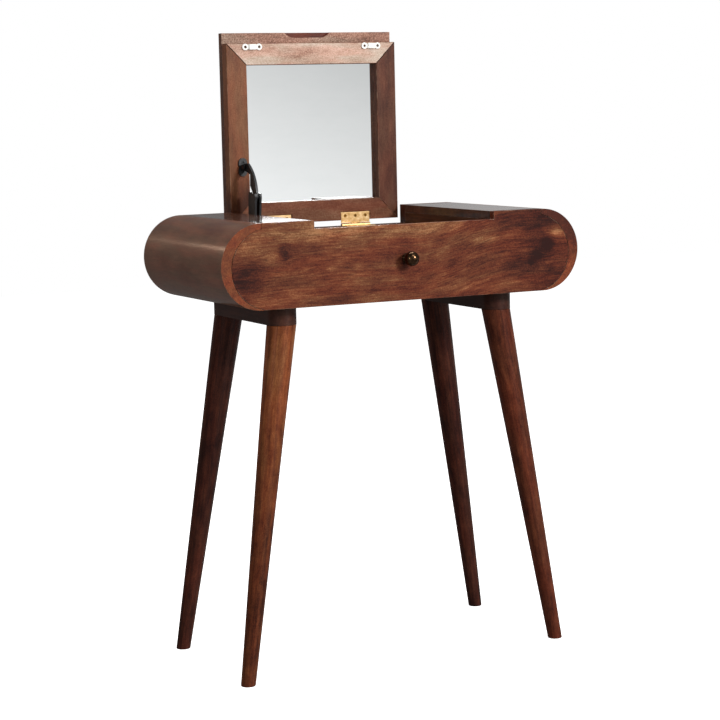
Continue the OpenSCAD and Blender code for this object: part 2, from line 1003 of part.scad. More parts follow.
module drawer_side_left() {
    drawer_side(-1);
}

module drawer_side_right() {
    drawer_side(1);
}

module drawer_back() {
    color(inner_wood)
        difference() {
            block([-drawer_x + drawer_t, drawer_back_y - drawer_t, z_drawer],
                  [drawer_x - drawer_t, drawer_back_y, z_drawer + drawer_h]);
            bottom_groove(0);
            side_screw_places() screw(side_screw);
        }
}

module drawer_bottom() {
    color(inner_wood) bottom_groove(0.3);
}

module drawer_screws() {
    color(steel) {
        front_screw_places() screw(front_screw);
        side_screw_places() screw(side_screw);
    }
}

// Turned knob: a base flange, a neck and a ball
module knob() {
    base_r = 9;
    neck_r = 5.5;
    ball_z = knob_reach - knob_r;
    color([0.25, 0.17, 0.12])
        translate([0, y_front, z_knob])
            rotate([90, 0, 0])
                difference() {
                    union() {
                        cylinder(r = base_r, h = 2);
                        translate([0, 0, 2]) cylinder(r1 = base_r - 1, r2 = neck_r, h = 3);
                        cylinder(r = neck_r, h = ball_z);
                        translate([0, 0, ball_z]) sphere(r = knob_r);
                    }
                    translate([0, 0, -1]) cylinder(r = 2, h = 16);
                }
}

// Bolt from inside the drawer, through both fronts into the knob
module knob_bolt() {
    head_y = y_front + board_t + drawer_t;
    color(steel)
        translate([0, head_y + 2.5, z_knob])
            rotate([90, 0, 0]) {
                cylinder(r = 4.5, h = 2.5);
                cylinder(r = 2, h = 2.5 + board_t + drawer_t + 14);
            }
}

end_cap_left();
end_cap_right();
top_board_left();
top_board_right();
bottom_board();
back_panel();
divider_left();
divider_right();
front_rail();
drawer_runner_left();
drawer_runner_right();
drawer_stops();
dowels();
back_screws();
batten_left();
batten_right();
leg_front_left();
leg_front_right();
leg_back_left();
leg_back_right();
leg_inserts();
leg_bolts();
batten_screws();
strike_plates();
hinge_body_leaf_left();
hinge_body_leaf_right();
hinge_pins();
hinge_body_screws();
stay_damper();
stay_damper_shaft();
stay_damper_screws();
stay_lower_arm();
stay_elbow_pin();
stay_upper_arm();
lid_board();
frame_top();
frame_bottom();
frame_left();
frame_right();
mirror_glass();
mirror_backing();
hinge_lid_leaf_left();
hinge_lid_leaf_right();
hinge_lid_screws();
catch_left();
catch_right();
catch_screws();
frame_brads();
stay_lid_plate();
stay_lid_pin();
stay_lid_screws();
drawer_front();
drawer_subfront();
drawer_side_left();
drawer_side_right();
drawer_back();
drawer_bottom();
drawer_screws();
knob();
knob_bolt();
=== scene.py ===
"""Looks of a vanity table with a lift-up mirror lid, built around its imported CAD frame.

Lengths are in metres. X runs across the front, Y to the back and Z up. Places and sizes come from
the CAD nodes' boxes. Each piece's mesh carries its grain coordinates, in which X runs along the grain.
"""

import json
import math

import bmesh
import bpy
from mathutils import Matrix, Vector

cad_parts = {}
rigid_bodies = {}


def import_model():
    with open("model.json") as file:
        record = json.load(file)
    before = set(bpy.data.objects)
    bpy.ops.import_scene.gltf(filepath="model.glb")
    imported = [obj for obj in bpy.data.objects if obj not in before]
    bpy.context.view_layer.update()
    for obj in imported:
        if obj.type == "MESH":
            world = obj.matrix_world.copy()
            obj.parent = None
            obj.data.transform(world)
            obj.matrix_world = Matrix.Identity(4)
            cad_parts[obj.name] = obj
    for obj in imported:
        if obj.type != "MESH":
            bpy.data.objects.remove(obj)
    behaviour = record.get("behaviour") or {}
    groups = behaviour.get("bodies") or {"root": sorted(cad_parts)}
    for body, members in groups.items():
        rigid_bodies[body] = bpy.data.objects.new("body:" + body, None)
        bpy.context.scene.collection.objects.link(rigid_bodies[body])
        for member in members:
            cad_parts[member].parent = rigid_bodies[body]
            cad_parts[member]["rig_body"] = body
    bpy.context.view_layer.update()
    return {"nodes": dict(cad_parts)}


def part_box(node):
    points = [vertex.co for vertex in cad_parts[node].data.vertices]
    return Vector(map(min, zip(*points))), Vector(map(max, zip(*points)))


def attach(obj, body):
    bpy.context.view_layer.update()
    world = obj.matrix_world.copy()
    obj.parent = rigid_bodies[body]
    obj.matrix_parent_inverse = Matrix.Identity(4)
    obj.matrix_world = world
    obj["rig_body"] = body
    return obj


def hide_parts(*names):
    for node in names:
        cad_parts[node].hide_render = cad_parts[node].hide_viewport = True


for leftover in list(bpy.data.objects):
    bpy.data.objects.remove(leftover)
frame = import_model()

MM = 0.001
SEED_SHARE = 0.37


def body_of(node):
    """Name of the CAD body that a node belongs to."""
    return frame["nodes"][node]["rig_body"]


def middle(node):
    """Middle of a CAD node's box."""
    low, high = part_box(node)
    return (low + high) / 2


def seed_of(node):
    """A CAD node's own seed for its grain."""
    return SEED_SHARE * sorted(frame["nodes"]).index(node)


# ---- Building materials ----


def colour(code):
    """Linear RGBA of a hex colour such as #7a4a33."""
    channels = [int(code[i : i + 2], 16) / 255 for i in (1, 3, 5)]
    linear = [c / 12.92 if c <= 0.04045 else ((c + 0.055) / 1.055) ** 2.4 for c in channels]
    return (*linear, 1.0)


class Tree:
    """Short calls for adding and joining the nodes of one tree."""

    def __init__(self, tree):
        self.tree = tree

    def feed(self, socket, value):
        """Joins an output to a socket, or sets a plain value on it."""
        if isinstance(value, bpy.types.NodeSocket):
            self.tree.links.new(value, socket)
        else:
            socket.default_value = value

    def node(self, kind, inputs=None, **settings):
        made = self.tree.nodes.new("ShaderNode" + kind)
        for key, value in settings.items():
            setattr(made, key, value)
        for key, value in (inputs or {}).items():
            self.feed(made.inputs[key], value)
        return made

    def math(self, operation, *values):
        made = self.node("Math", operation=operation)
        for socket, value in zip(made.inputs, values):
            self.feed(socket, value)
        return made.outputs[0]

    def vector(self, operation, *values):
        made = self.node("VectorMath", operation=operation)
        for socket, value in zip(made.inputs, values):
            self.feed(socket, value)
        return made.outputs["Value" if operation in ("LENGTH", "DOT_PRODUCT") else "Vector"]

    def scaled(self, vector, factor):
        """A vector times one number."""
        return self.node("VectorMath", {"Vector": vector, "Scale": factor}, operation="SCALE").outputs[0]

    def total(self, *shares):
        """Sum of (weight, value) pairs."""
        result = 0.0
        for weight, value in shares:
            result = self.math("MULTIPLY_ADD", value, weight, result)
        return result

    def noise(self, place, size, detail=2.0, roughness=0.5, output=0):
        """Noise whose features are about size across, in metres, along X, Y and Z."""
        stretched = self.vector("MULTIPLY", place, [1 / s for s in size])
        inputs = {"Vector": stretched, "Scale": 1.0, "Detail": detail, "Roughness": roughness}
        return self.node("TexNoise", inputs).outputs[output]

    def spread(self, value, low, high, to_low=0.0, to_high=1.0, smooth=False):
        """A value's range from low to high, spread over another range."""
        inputs = {"Value": value, "From Min": low, "From Max": high, "To Min": to_low, "To Max": to_high}
        kind = "SMOOTHSTEP" if smooth else "LINEAR"
        return self.node("MapRange", inputs, interpolation_type=kind).outputs[0]

    def ramp(self, value, tones):
        """Even steps from the first hex colour to the last."""
        made = self.node("ValToRGB", {"Fac": value})
        stops = made.color_ramp.elements
        while len(stops) < len(tones):
            stops.new(0.5)
        for i, tone in enumerate(tones):
            stops[i].position = i / (len(tones) - 1)
            stops[i].color = colour(tone)
        return made.outputs["Color"]

    def mix(self, factor, a, b, blend="MIX"):
        made = self.node("Mix", data_type="RGBA", blend_type=blend)
        for index, value in ((0, factor), (6, a), (7, b)):
            self.feed(made.inputs[index], value)
        return made.outputs[2]


class Material(Tree):
    """A Principled material and its node tree."""

    def __init__(self, name, **uniform):
        self.material = bpy.data.materials.new(name)
        self.material.use_nodes = True
        super().__init__(self.material.node_tree)
        self.shader = self.tree.nodes["Principled BSDF"]
        for key, value in uniform.items():
            self.shader.inputs[key.replace("_", " ")].default_value = value

    def grain(self):
        """The piece's grain coordinates: from its middle, with X along the grain."""
        return self.node("Attribute", attribute_name="grain").outputs["Vector"]

    def place(self):
        """Grain coordinates moved by each piece's own seed, so that no two pieces are alike."""
        seed = self.node("Attribute", attribute_name="grain_seed").outputs["Fac"]
        return self.vector("ADD", self.grain(), self.scaled(SEED_STEP, seed))

    def set(self, colour, roughness, height=None, depth=0.0):
        """Joins the finished colour, roughness and relief to the shader. Depth is the relief's."""
        self.feed(self.shader.inputs["Base Color"], colour)
        self.feed(self.shader.inputs["Roughness"], roughness)
        if height is not None:
            bump = self.node("Bump", {"Height": height, "Strength": 1.0, "Distance": depth})
            self.feed(self.shader.inputs["Normal"], bump.outputs["Normal"])
        return self.material


def mark_group():
    """A mark in the wood: bends the grain round a spot and makes the tone there lighter or darker."""
    group = bpy.data.node_groups.new("grain_mark", "ShaderNodeTree")
    sides = (
        ("INPUT", "Place", "Vector"), ("INPUT", "Centre", "Vector"), ("INPUT", "Reach", "Vector"),
        ("INPUT", "Pull", "Float"), ("INPUT", "Shade", "Float"), ("INPUT", "Bend", "Vector"),
        ("INPUT", "Tone", "Float"), ("OUTPUT", "Bend", "Vector"), ("OUTPUT", "Tone", "Float"),
    )
    for side, name, kind in sides:
        group.interface.new_socket(name, in_out=side, socket_type="NodeSocket" + kind)
    t = Tree(group)
    given = group.nodes.new("NodeGroupInput").outputs
    result = group.nodes.new("NodeGroupOutput").inputs
    offset = t.vector("SUBTRACT", given["Place"], given["Centre"])
    distance = t.vector("LENGTH", t.vector("MULTIPLY", offset, given["Reach"]))
    nearness = t.math("EXPONENT", t.math("MULTIPLY", t.math("MULTIPLY", distance, distance), -1.0))
    across = t.vector("MULTIPLY", offset, (0, 0, -1))
    pulled = t.scaled(across, t.math("MULTIPLY", nearness, given["Pull"]))
    t.feed(result["Bend"], t.vector("ADD", given["Bend"], pulled))
    t.feed(result["Tone"], t.math("MULTIPLY_ADD", nearness, given["Shade"], given["Tone"]))
    return group


GRAIN_MARK = mark_group()

# What all wood shares. Sizes are of the noise's features, along the grain and across it
SEED_STEP = (1.31, 0.87, 0.59)
SWAY, SWAY_SIZE = 0.02, (0.3, 0.08, 0.08)
CLOUD_SIZE = (0.22, 0.09, 0.09)
WARMTH_SIZE = (0.11, 0.02, 0.02)
FIBRE_SHARE, FIBRE_SIZE = 0.16, (0.018, 0.0007, 0.0007)
GRIT_SIZE = (0.0022, 0.0016, 0.0016)
PORE_SHARE, PORE_SIZE = 0.4, (0.009, 0.0006, 0.0006)
VEIN_SIZE = (0.03, 0.0015, 0.0015)
EDGE_PATCH_SIZE = (0.02, 0.012, 0.012)
SEAM_SHARE = 0.8
TONE_REACH = 0.2
WOOD_RELIEF = 0.12 * MM
WARM_TINT, COOL_TINT = (1.10, 0.96, 0.94, 1), (0.97, 1.03, 1.03, 1)
# the pale tone of the arrises is partly wear and partly a painted highlight along the edges
WORN_AND_HIGHLIGHT_TONE, SEAM_TONE = colour("#d9b79c"), colour("#1c0e0a")


def wood(name, tones, gloss=(0.4, 0.52), coat=(0.1, 0.25), shine=0.12, streaks=(0.3, 0.13, 0.0045),
         mottle=(0.5, 0.08, 0.026), cloudy=0.2, speck=0.0, contrast=1.0, rise=None, wear_and_highlight=0.3,
         veins=0.15, marks=()):
    """Oiled or lacquered wood with its grain along X of its grain coordinates.

    Tones run from the darkest to the lightest, and more contrast reaches both sooner. Gloss is the
    range of the roughness. Coat is the clear coat's weight and roughness, and shine the specular
    level. Streaks and mottle are (share, length, width). Cloudy, speck, wear_and_highlight and veins
    are shares; wear_and_highlight paints pale arrises, partly wear and partly a painted highlight.
    Rise is (x where it starts, x where it ends, height) of a slope in the grain. Marks are (x, z,
    x reach, z reach, pull, shade), measured from the piece's middle.
    """
    m = Material(name, Coat_Weight=coat[0], Coat_Roughness=coat[1], Specular_IOR_Level=shine)
    place = m.place()
    sway = m.vector("SUBTRACT", m.noise(place, SWAY_SIZE, 2.5, output=1), (0.5, 0.5, 0.5))
    bend = m.vector("MULTIPLY", sway, (0, SWAY, SWAY))
    own = m.grain()
    if rise:
        along = m.node("SeparateXYZ", {"Vector": own}).outputs["X"]
        slope = m.spread(along, rise[0], rise[1], 0.0, -rise[2], smooth=True)
        bend = m.vector("ADD", bend, m.node("CombineXYZ", {"Z": slope}).outputs[0])
    tone = 0.0
    for x, z, reach_x, reach_z, pull, shade in marks:
        inputs = {"Place": own, "Centre": (x, 0, z), "Reach": (1 / reach_x, 0, 1 / reach_z),
                  "Pull": pull, "Shade": shade, "Bend": bend, "Tone": tone}
        mark = m.node("Group", node_tree=GRAIN_MARK)
        for key, value in inputs.items():
            m.feed(mark.inputs[key], value)
        bend, tone = mark.outputs["Bend"], mark.outputs["Tone"]
    bent = m.vector("ADD", place, bend)

    streak = m.noise(bent, (streaks[1], streaks[2], streaks[2]), 4.0, 0.6)
    blotch = m.noise(bent, (mottle[1], mottle[2], mottle[2]), 3.0, 0.55)
    cloud = m.noise(place, CLOUD_SIZE, 2.0)
    fibre = m.noise(bent, FIBRE_SIZE, 2.0)
    grit = m.noise(place, GRIT_SIZE, 2.0, 0.6)
    shares = ((streaks[0], streak), (mottle[0], blotch), (cloudy, cloud), (FIBRE_SHARE, fibre),
              (speck, grit))
    value = m.total((1.0, tone), *shares)
    centre = 0.5 * sum(share for share, _ in shares)
    reach = TONE_REACH / contrast
    base = m.ramp(m.spread(value, centre - reach, centre + reach), tones)
    warmth = m.spread(m.noise(bent, WARMTH_SIZE, 2.0), 0.4, 0.6)
    base = m.mix(1.0, base, m.mix(warmth, WARM_TINT, COOL_TINT), "MULTIPLY")

    darkest = colour(tones[0])
    pore = m.spread(m.noise(bent, PORE_SIZE, 1.0), 0.6, 0.72)
    base = m.mix(m.math("MULTIPLY", pore, PORE_SHARE), base, darkest)
    vein = m.spread(m.noise(bent, VEIN_SIZE, 2.0, 0.6), 0.54, 0.68)
    base = m.mix(m.math("MULTIPLY", vein, veins), base, darkest)
    # pale arrises: partly rubbed wear, partly a painted highlight along the rounded edges
    edge_patches = m.spread(m.noise(place, EDGE_PATCH_SIZE, 3.0, 0.65), 0.42, 0.6)
    worn_and_highlit = m.math("MULTIPLY", m.node("Attribute", attribute_name="arris").outputs["Fac"], edge_patches)
    base = m.mix(m.math("MULTIPLY", worn_and_highlit, wear_and_highlight), base, WORN_AND_HIGHLIGHT_TONE)
    seam = m.node("Attribute", attribute_name="seam").outputs["Fac"]
    base = m.mix(m.math("MULTIPLY", seam, SEAM_SHARE), base, SEAM_TONE)
    rough = m.spread(m.total((0.6, fibre), (0.4, blotch)), 0.35, 0.65, *gloss)
    height = m.total((0.35, fibre), (-0.6, pore), (0.3, streak))
    return m.set(base, rough, height, WOOD_RELIEF)


PATCH_SIZE = (0.006, 0.006, 0.006)
SCRATCH_SIZE = (0.0002, 0.004, 0.004)
UNEVEN_SIZE = (0.012, 0.012, 0.012)
HAZE_SIZE = (0.05, 0.02, 0.02)
MOULDED_RELIEF = 0.03 * MM


def metal(name, tones, roughness, depth=0.02 * MM):
    """Metal with a mottled tone, fine scratches and an uneven polish."""
    m = Material(name, Metallic=1.0)
    place = m.place()
    mottle = m.noise(place, PATCH_SIZE, 4.0, 0.6)
    scratch = m.noise(place, SCRATCH_SIZE, 2.0)
    base = m.ramp(m.spread(mottle, 0.3, 0.7), tones)
    rough = m.spread(m.total((0.6, mottle), (0.4, scratch)), 0.3, 0.7, *roughness)
    return m.set(base, rough, m.total((0.5, scratch), (0.5, mottle)), depth)


def moulded(name, tones, roughness, grit=0.0006):
    """Moulded plastic or powder-coated metal, with a fine grit and a slightly uneven tone."""
    m = Material(name)
    place = m.place()
    fine = m.noise(place, (grit, grit, grit), 2.0)
    broad = m.noise(place, UNEVEN_SIZE, 3.0)
    base = m.ramp(m.total((0.3, fine), (0.7, broad)), tones)
    return m.set(base, m.spread(broad, 0.3, 0.7, *roughness), fine, MOULDED_RELIEF)


def silvered(name):
    """Mirror glass, silvered behind, with a trace of haze from wiping."""
    m = Material(name, Metallic=1.0)
    place = m.place()
    haze = m.noise(place, HAZE_SIZE, 4.0, 0.6)
    base = m.ramp(haze, ("#f0f3f3", "#f6f8f8"))
    return m.set(base, m.spread(haze, 0.45, 0.8, 0.004, 0.03))


FRONT_MARKS = (
    # the dark heart near the right end, and the shade round it
    (0.274, 0.010, 0.010, 0.011, 0.9, -0.24), (0.264, 0.004, 0.030, 0.018, 0.5, -0.06),
    (0.252, -0.009, 0.010, 0.009, 0.6, -0.2), (0.240, -0.019, 0.005, 0.005, 0.6, -0.2),
    (0.292, 0.030, 0.014, 0.008, 0.3, 0.2), (0.165, 0.022, 0.045, 0.009, 0.6, 0.13),
    (0.140, -0.004, 0.050, 0.006, 0.2, 0.09), (0.055, 0.046, 0.070, 0.018, 0.1, 0.1),
    # the dark swirl near the left end
    (-0.290, -0.020, 0.034, 0.024, 0.4, -0.2), (-0.246, 0.012, 0.016, 0.012, 0.7, 0.1),
    (-0.222, 0.020, 0.009, 0.012, 0.9, -0.14), (-0.200, 0.002, 0.020, 0.010, 0.9, -0.04),
    (-0.188, -0.006, 0.007, 0.004, 0.7, 0.13), (-0.142, -0.010, 0.008, 0.004, 0.7, 0.13),
    (-0.090, -0.008, 0.009, 0.005, 0.7, 0.09), (-0.150, -0.062, 0.030, 0.007, 0.4, -0.12),
    # painted shadow of the knob, on the wood just below and left of its foot
    (-0.006, -0.005, 0.009, 0.012, 0.0, -0.16),
    # broad areas
    (-0.150, 0.055, 0.150, 0.022, 0.0, 0.13), (-0.230, -0.050, 0.060, 0.018, 0.0, 0.06),
    (0.290, 0.0, 0.160, 0.300, 0.0, -0.11), (0.190, -0.055, 0.080, 0.012, 0.0, 0.08),
)
# Reach of a mark that has no limit in that direction
NO_LIMIT = 2.0
RING = {"tones": ("#431a0e", "#66301a", "#824526", "#a36437"), "streaks": (0.4, 0.05, 0.003),
        "mottle": (0.3, 0.05, 0.012), "cloudy": 0.0, "speck": 0.25}
# painted shade along the upper part of the end caps
CAP_TOP_PAINTED_SHADE = ((0, 0.07, NO_LIMIT, 0.035, 0, -0.12),)
RING_TOP_SHADE = ((0, 0.05, NO_LIMIT, 0.055, 0, -0.24),)
# painted shade at the foot of the left stile, beside the stay
STILE_FOOT_PAINTED_SHADE = ((-0.135, 0, 0.045, NO_LIMIT, 0, -0.2),)
# painted light and shade along the front left leg: lighter near its top, darker below its middle
LEG_PAINTED_LIGHT_AND_SHADE = ((0.22, 0, 0.12, NO_LIMIT, 0, 0.08), (-0.12, 0, 0.2, NO_LIMIT, 0, -0.1))
LEG_FIGURE = {"coat": (0.08, 0.25), "shine": 0.08, "streaks": (0.36, 0.12, 0.004),
              "mottle": (0.34, 0.03, 0.014), "speck": 0.25, "contrast": 1.15, "wear_and_highlight": 0.0, "veins": 0.3}
MATERIALS = {
    "front": wood("front_wood", ("#2c1512", "#4d241a", "#693724", "#805034", "#a87650"),
                  veins=0.55, coat=(0.05, 0.25), shine=0.06, streaks=(0.34, 0.05, 0.003), speck=0.3,
                  mottle=(0.36, 0.05, 0.02), cloudy=0.12, rise=(0.01, 0.21, 0.036),
                  marks=FRONT_MARKS),
    "cap": wood("cap_wood", ("#51352a", "#6b4938", "#7e5845", "#926a53"), coat=(0.4, 0.16),
                gloss=(0.5, 0.6), shine=0.08, streaks=(0.15, 0.1, 0.004), contrast=0.8,
                marks=CAP_TOP_PAINTED_SHADE),
    "ring_left": wood("ring_left_wood", **RING),
    "ring_right": wood("ring_right_wood", **RING, marks=RING_TOP_SHADE),
    "top": wood("top_wood", ("#2a1610", "#40251b", "#573527", "#6d4733"), coat=(1.0, 0.1)),
    "lid": wood("lid_wood", ("#2c1712", "#45261c", "#5c3527", "#734632"), coat=(0.3, 0.2)),
    # the pale front of the lid above the frame: a painted sheen, with pale arrises
    "lip": wood("lip_painted_sheen_wood", ("#54372b", "#856453", "#a2806d", "#c4a591"), speck=0.8, wear_and_highlight=0.9,
                streaks=(0.12, 0.06, 0.004)),
    # painted shade on the walls of the lid's finger recess, with pale arrises
    "recess": wood("recess_painted_shade_wood", ("#240b06", "#4a1c10", "#6b2f1a", "#84452a"), wear_and_highlight=0.9),
    "frame": wood("frame_wood", ("#441f13", "#673a25", "#7b4f39", "#936a51"), speck=0.4,
                  streaks=(0.14, 0.1, 0.005)),
    "stile_left": wood("stile_left_wood", ("#42200f", "#6a3e25", "#825337", "#9b6d4b"), speck=0.4,
                       streaks=(0.14, 0.1, 0.005), marks=STILE_FOOT_PAINTED_SHADE),
    "stile_right": wood("stile_right_wood", ("#32140c", "#502a1b", "#67402d", "#825a43"), speck=0.4,
                        streaks=(0.2, 0.08, 0.004)),
    # the top rail's pale front: a painted sheen on the frame wood
    "frame_painted_sheen": wood("frame_painted_sheen_wood", ("#8a6350", "#ba9a86", "#d2b7a5", "#e8d5c7"), speck=0.5,
                        streaks=(0.1, 0.06, 0.004)),
    "inner": wood("inner_wood", ("#2a150d", "#472817", "#5d3720", "#7a4c2e")),
    # Three copies of one leg wood, each painted to its own brightness: the front left leg lit, the front
    # right darker and the back legs darkest, as painted shade under the body
    "leg_light": wood("leg_painted_lit_wood", ("#3a1a10", "#62321d", "#7f4829", "#9a5e38"), **LEG_FIGURE,
                      marks=LEG_PAINTED_LIGHT_AND_SHADE),
    "leg_dark": wood("leg_painted_shade_wood", ("#290f0b", "#482014", "#62311f", "#78432b"), **LEG_FIGURE),
    "leg_back": wood("leg_painted_shadow_wood", ("#1c0b09", "#331711", "#4a251a", "#5e3424"), **LEG_FIGURE),
    # dark tones as painted shade under the body
    "batten": wood("batten_painted_shade_wood", ("#20100c", "#361d16", "#472a20", "#57392b"), wear_and_highlight=0.0),
    "brass": metal("brass", ("#b98f58", "#d6b07a", "#e6c99c"), (0.34, 0.46), depth=0.006 * MM),
    "brass_dark": metal("worn_brass", ("#6b4a1e", "#8c6430", "#a37a40"), (0.35, 0.5)),
    "steel": metal("zinc_steel", ("#8d8f92", "#b2b4b6", "#c9cacb"), (0.25, 0.45)),
    "dark_steel": metal("dark_steel", ("#3a302c", "#5a4b44", "#75645a"), (0.35, 0.5)),
    "bronze": metal("antique_bronze", ("#2a1d14", "#4a3626", "#6b5038"), (0.14, 0.24)),
    "black": moulded("black_metal", ("#0b0b0c", "#131416", "#1d1e21"), (0.4, 0.55)),
    "plastic": moulded("white_plastic", ("#e6e4dc", "#f4f2ec", "#faf9f5"), (0.3, 0.42)),
    "backing": moulded("backing_board", ("#161210", "#241d19", "#332a25"), (0.7, 0.85), grit=0.002),
    "mirror": silvered("mirror_glass"),
}


# ---- Building pieces ----

SHARP_ANGLE, FLAT_ANGLE = math.radians(32), math.radians(0.4)
EDGE_STEPS = 3
WELD = 0.002 * MM
# A face looks a way if its normal's part that way is above this
FACING = 0.9


def piece_of(name, mesh, materials):
    """A new object with these materials and smooth faces."""
    piece = bpy.data.objects.new(name, mesh)
    bpy.context.scene.collection.objects.link(piece)
    for key in materials:
        mesh.materials.append(MATERIALS[key])
    for face in mesh.polygons:
        face.use_smooth = True
    return piece


def round_edges(b, width, shortest):
    """Rounds a bmesh's sharp edges, except those of small holes. Returns the rounded strips' faces."""
    sharp = [e for e in b.edges if len(e.link_faces) == 2 and e.calc_length() > shortest
             and e.calc_face_angle(0.0) > SHARP_ANGLE]
    made = bmesh.ops.bevel(b, geom=sharp, offset=width, offset_type="OFFSET", segments=EDGE_STEPS,
                           profile=0.5, affect="EDGES", clamp_overlap=True)
    return set(made["faces"])


def store(mesh, name, kind, field, values):
    """Keeps one value for each vertex as an attribute that materials can read."""
    mesh.attributes.new(name, kind, "POINT").data.foreach_set(field, values)


def set_grain(piece, axes, seed):
    """Gives the mesh its grain coordinates and seed. Axes carries grain space to the mesh's own."""
    into_grain = axes.inverted()
    points = [c for v in piece.data.vertices for c in into_grain @ v.co]
    store(piece.data, "grain", "FLOAT_VECTOR", "vector", points)
    store(piece.data, "grain_seed", "FLOAT", "value", [seed] * len(piece.data.vertices))


def hand_in(piece, nodes):
    """Makes a piece stand for its CAD nodes and ride on their body."""
    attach(piece, body_of(nodes[0]))
    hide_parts(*nodes)
    return piece


def joined_copy(node):
    """The CAD node's mesh with its seams welded and its flat triangles joined, as a bmesh."""
    b = bmesh.new()
    b.from_mesh(frame["nodes"][node].data)
    bmesh.ops.remove_doubles(b, verts=b.verts, dist=WELD)
    bmesh.ops.dissolve_limit(b, angle_limit=FLAT_ANGLE, verts=b.verts, edges=b.edges)
    return b


# Turns that carry local X onto each direction of the grain
ALONG = {
    "x": Matrix.Identity(3),
    "y": Matrix.Rotation(math.radians(90), 3, "Z"),
    "z": Matrix.Rotation(math.radians(-90), 3, "Y"),
}


def shaped(node, materials, grain="x", width=0.8 * MM, shortest=0.7 * MM, turn=None,
           seed=None, pick=None, seam=None):
    """A CAD node's shape as a finished piece, with rounded edges and grain coordinates.

    Width is the rounding's, and edges up to the shortest stay sharp. Turn carries local X onto the
    grain where that isn't along an axis. Pick gives the index of a face's material. Seam tells how
    far a point lies in a joint line.
    """
    mesh = bpy.data.meshes.new(node)
    b = joined_copy(node)
    if pick:
        for face in b.faces:
            face.material_index = pick(face.calc_center_median(), face.normal)
    strips = round_edges(b, width, shortest)
    arris = [float(all(face in strips for face in v.link_faces)) for v in b.verts]
    joint = [seam(v.co) if seam else 0.0 for v in b.verts]
    b.to_mesh(mesh)
    b.free()
    if "custom_normal" in mesh.attributes:
        mesh.attributes.remove(mesh.attributes["custom_normal"])
    store(mesh, "arris", "FLOAT", "value", [a * (1 - j) for a, j in zip(arris, joint)])
    store(mesh, "seam", "FLOAT", "value", joint)
    piece = piece_of(node + "_piece", mesh, materials)
    axes = Matrix.Translation(middle(node)) @ (turn or ALONG[grain]).to_4x4()
    set_grain(piece, axes, seed_of(node) if seed is None else seed)
    piece.modifiers.new("flat_faces", "WEIGHTED_NORMAL").weight = 100
    return hand_in(piece, [node])


def lathe(b, place, profile, sides=32, dent=None):
    """Adds a turned solid. Profile is (radius, height) from the top's middle to the bottom's.

    Dent gives the depth of a recess at a point.
    """
    rings = []
    for radius, height in profile:
        ring = []
        for i in range(sides if radius else 1):
            x, y = (radius * f(2 * math.pi * i / sides) for f in (math.cos, math.sin))
            ring.append(b.verts.new(place @ Vector((x, y, height - (dent(x, y) if dent else 0)))))
        rings.append(ring)
    for upper, lower in zip(rings, rings[1:]):
        for i in range(sides):
            k = (i + 1) % sides
            corners = [upper[i % len(upper)], lower[i % len(lower)]]
            corners += [lower[k]] if len(lower) > 1 else []
            corners += [upper[k]] if len(upper) > 1 else []
            b.faces.new(corners)


def turned_piece(node, materials, build):
    """A piece made by build(bmesh) to stand for a CAD node."""
    mesh = bpy.data.meshes.new(node)
    b = bmesh.new()
    build(b)
    bmesh.ops.recalc_face_normals(b, faces=b.faces)
    b.to_mesh(mesh)
    b.free()
    piece = piece_of(node + "_piece", mesh, materials)
    set_grain(piece, Matrix.Translation(middle(node)), seed_of(node))
    return hand_in(piece, [node])


def screw_places(node):
    """For each screw of a CAD node: its place with +Z out of the head, head radius and length."""
    b = joined_copy(node)
    seen = set()
    found = []
    for first in b.verts:
        if first in seen:
            continue
        points, queue = [], [first]
        while queue:
            v = queue.pop()
            if v not in seen:
                seen.add(v)
                points.append(v.co.copy())
                queue += [e.other_vert(v) for e in v.link_edges]
        low = Vector([min(p[i] for p in points) for i in range(3)])
        high = Vector([max(p[i] for p in points) for i in range(3)])
        centre = (low + high) / 2
        axis = max(range(3), key=lambda i: high[i] - low[i])
        across = [(p - centre) * Vector([float(i != axis) for i in range(3)]) for p in points]
        head = max(zip(across, points), key=lambda pair: pair[0].length)[1]
        way = Vector([0.0] * 3)
        way[axis] = 1.0 if head[axis] > centre[axis] else -1.0
        top = centre.copy()
        top[axis] = high[axis] if way[axis] > 0 else low[axis]
        turn = way.to_track_quat("Z", "X").to_matrix().to_4x4()
        reach = max(a.length for a in across)
        found.append((Matrix.Translation(top) @ turn, reach, high[axis] - low[axis]))
    b.free()
    return found


def cross_slot(radius):
    """Depth of a cross-head screw's recess at a point of its head."""
    reach, half_width, depth = 0.62 * radius, 0.14 * radius, 0.45 * radius

    def arm(u, v):
        return max(0.0, min(1.0, 1.6 - abs(v) / half_width)) * float(abs(u) < reach)

    return lambda x, y: depth * max(arm(x, y), arm(y, x))


def add_screws(b, node):
    """Countersunk screws with cross heads and ribbed shanks, in the places of the CAD's plain ones."""
    for place, radius, length in screw_places(node):
        shank = radius / 2
        tip, pitch = 1.5 * shank, 0.8 * shank
        top = [(f * radius, 0.0) for f in (0, 0.1, 0.2, 0.3, 0.4, 0.5, 0.6, 0.64, 0.8, 0.94)]
        sides = [(0.99 * radius, -0.06 * radius), (0.99 * radius, -0.5 * radius), (shank, -radius)]
        lathe(b, place, top + sides, 40, cross_slot(radius))
        start, end = -radius, -length + tip
        count = int((start - end) / pitch)
        ribs = [(shank * (0.98 if i % 2 else 0.8), start + (end - start) * i / (2 * count))
                for i in range(2 * count + 1)]
        lathe(b, place, [(0, start)] + ribs + [(0, -length)], 16)


# ---- Wooden parts ----

RECESS_REACH = 46 * MM
MITRE_WIDTH = 0.9 * MM
LOWER_MITRE = 0.15


def end_grain(place, normal):
    """The caps' faces that cut across their grain, which runs front to back, are 1."""
    return int(abs(normal.y) > FACING)


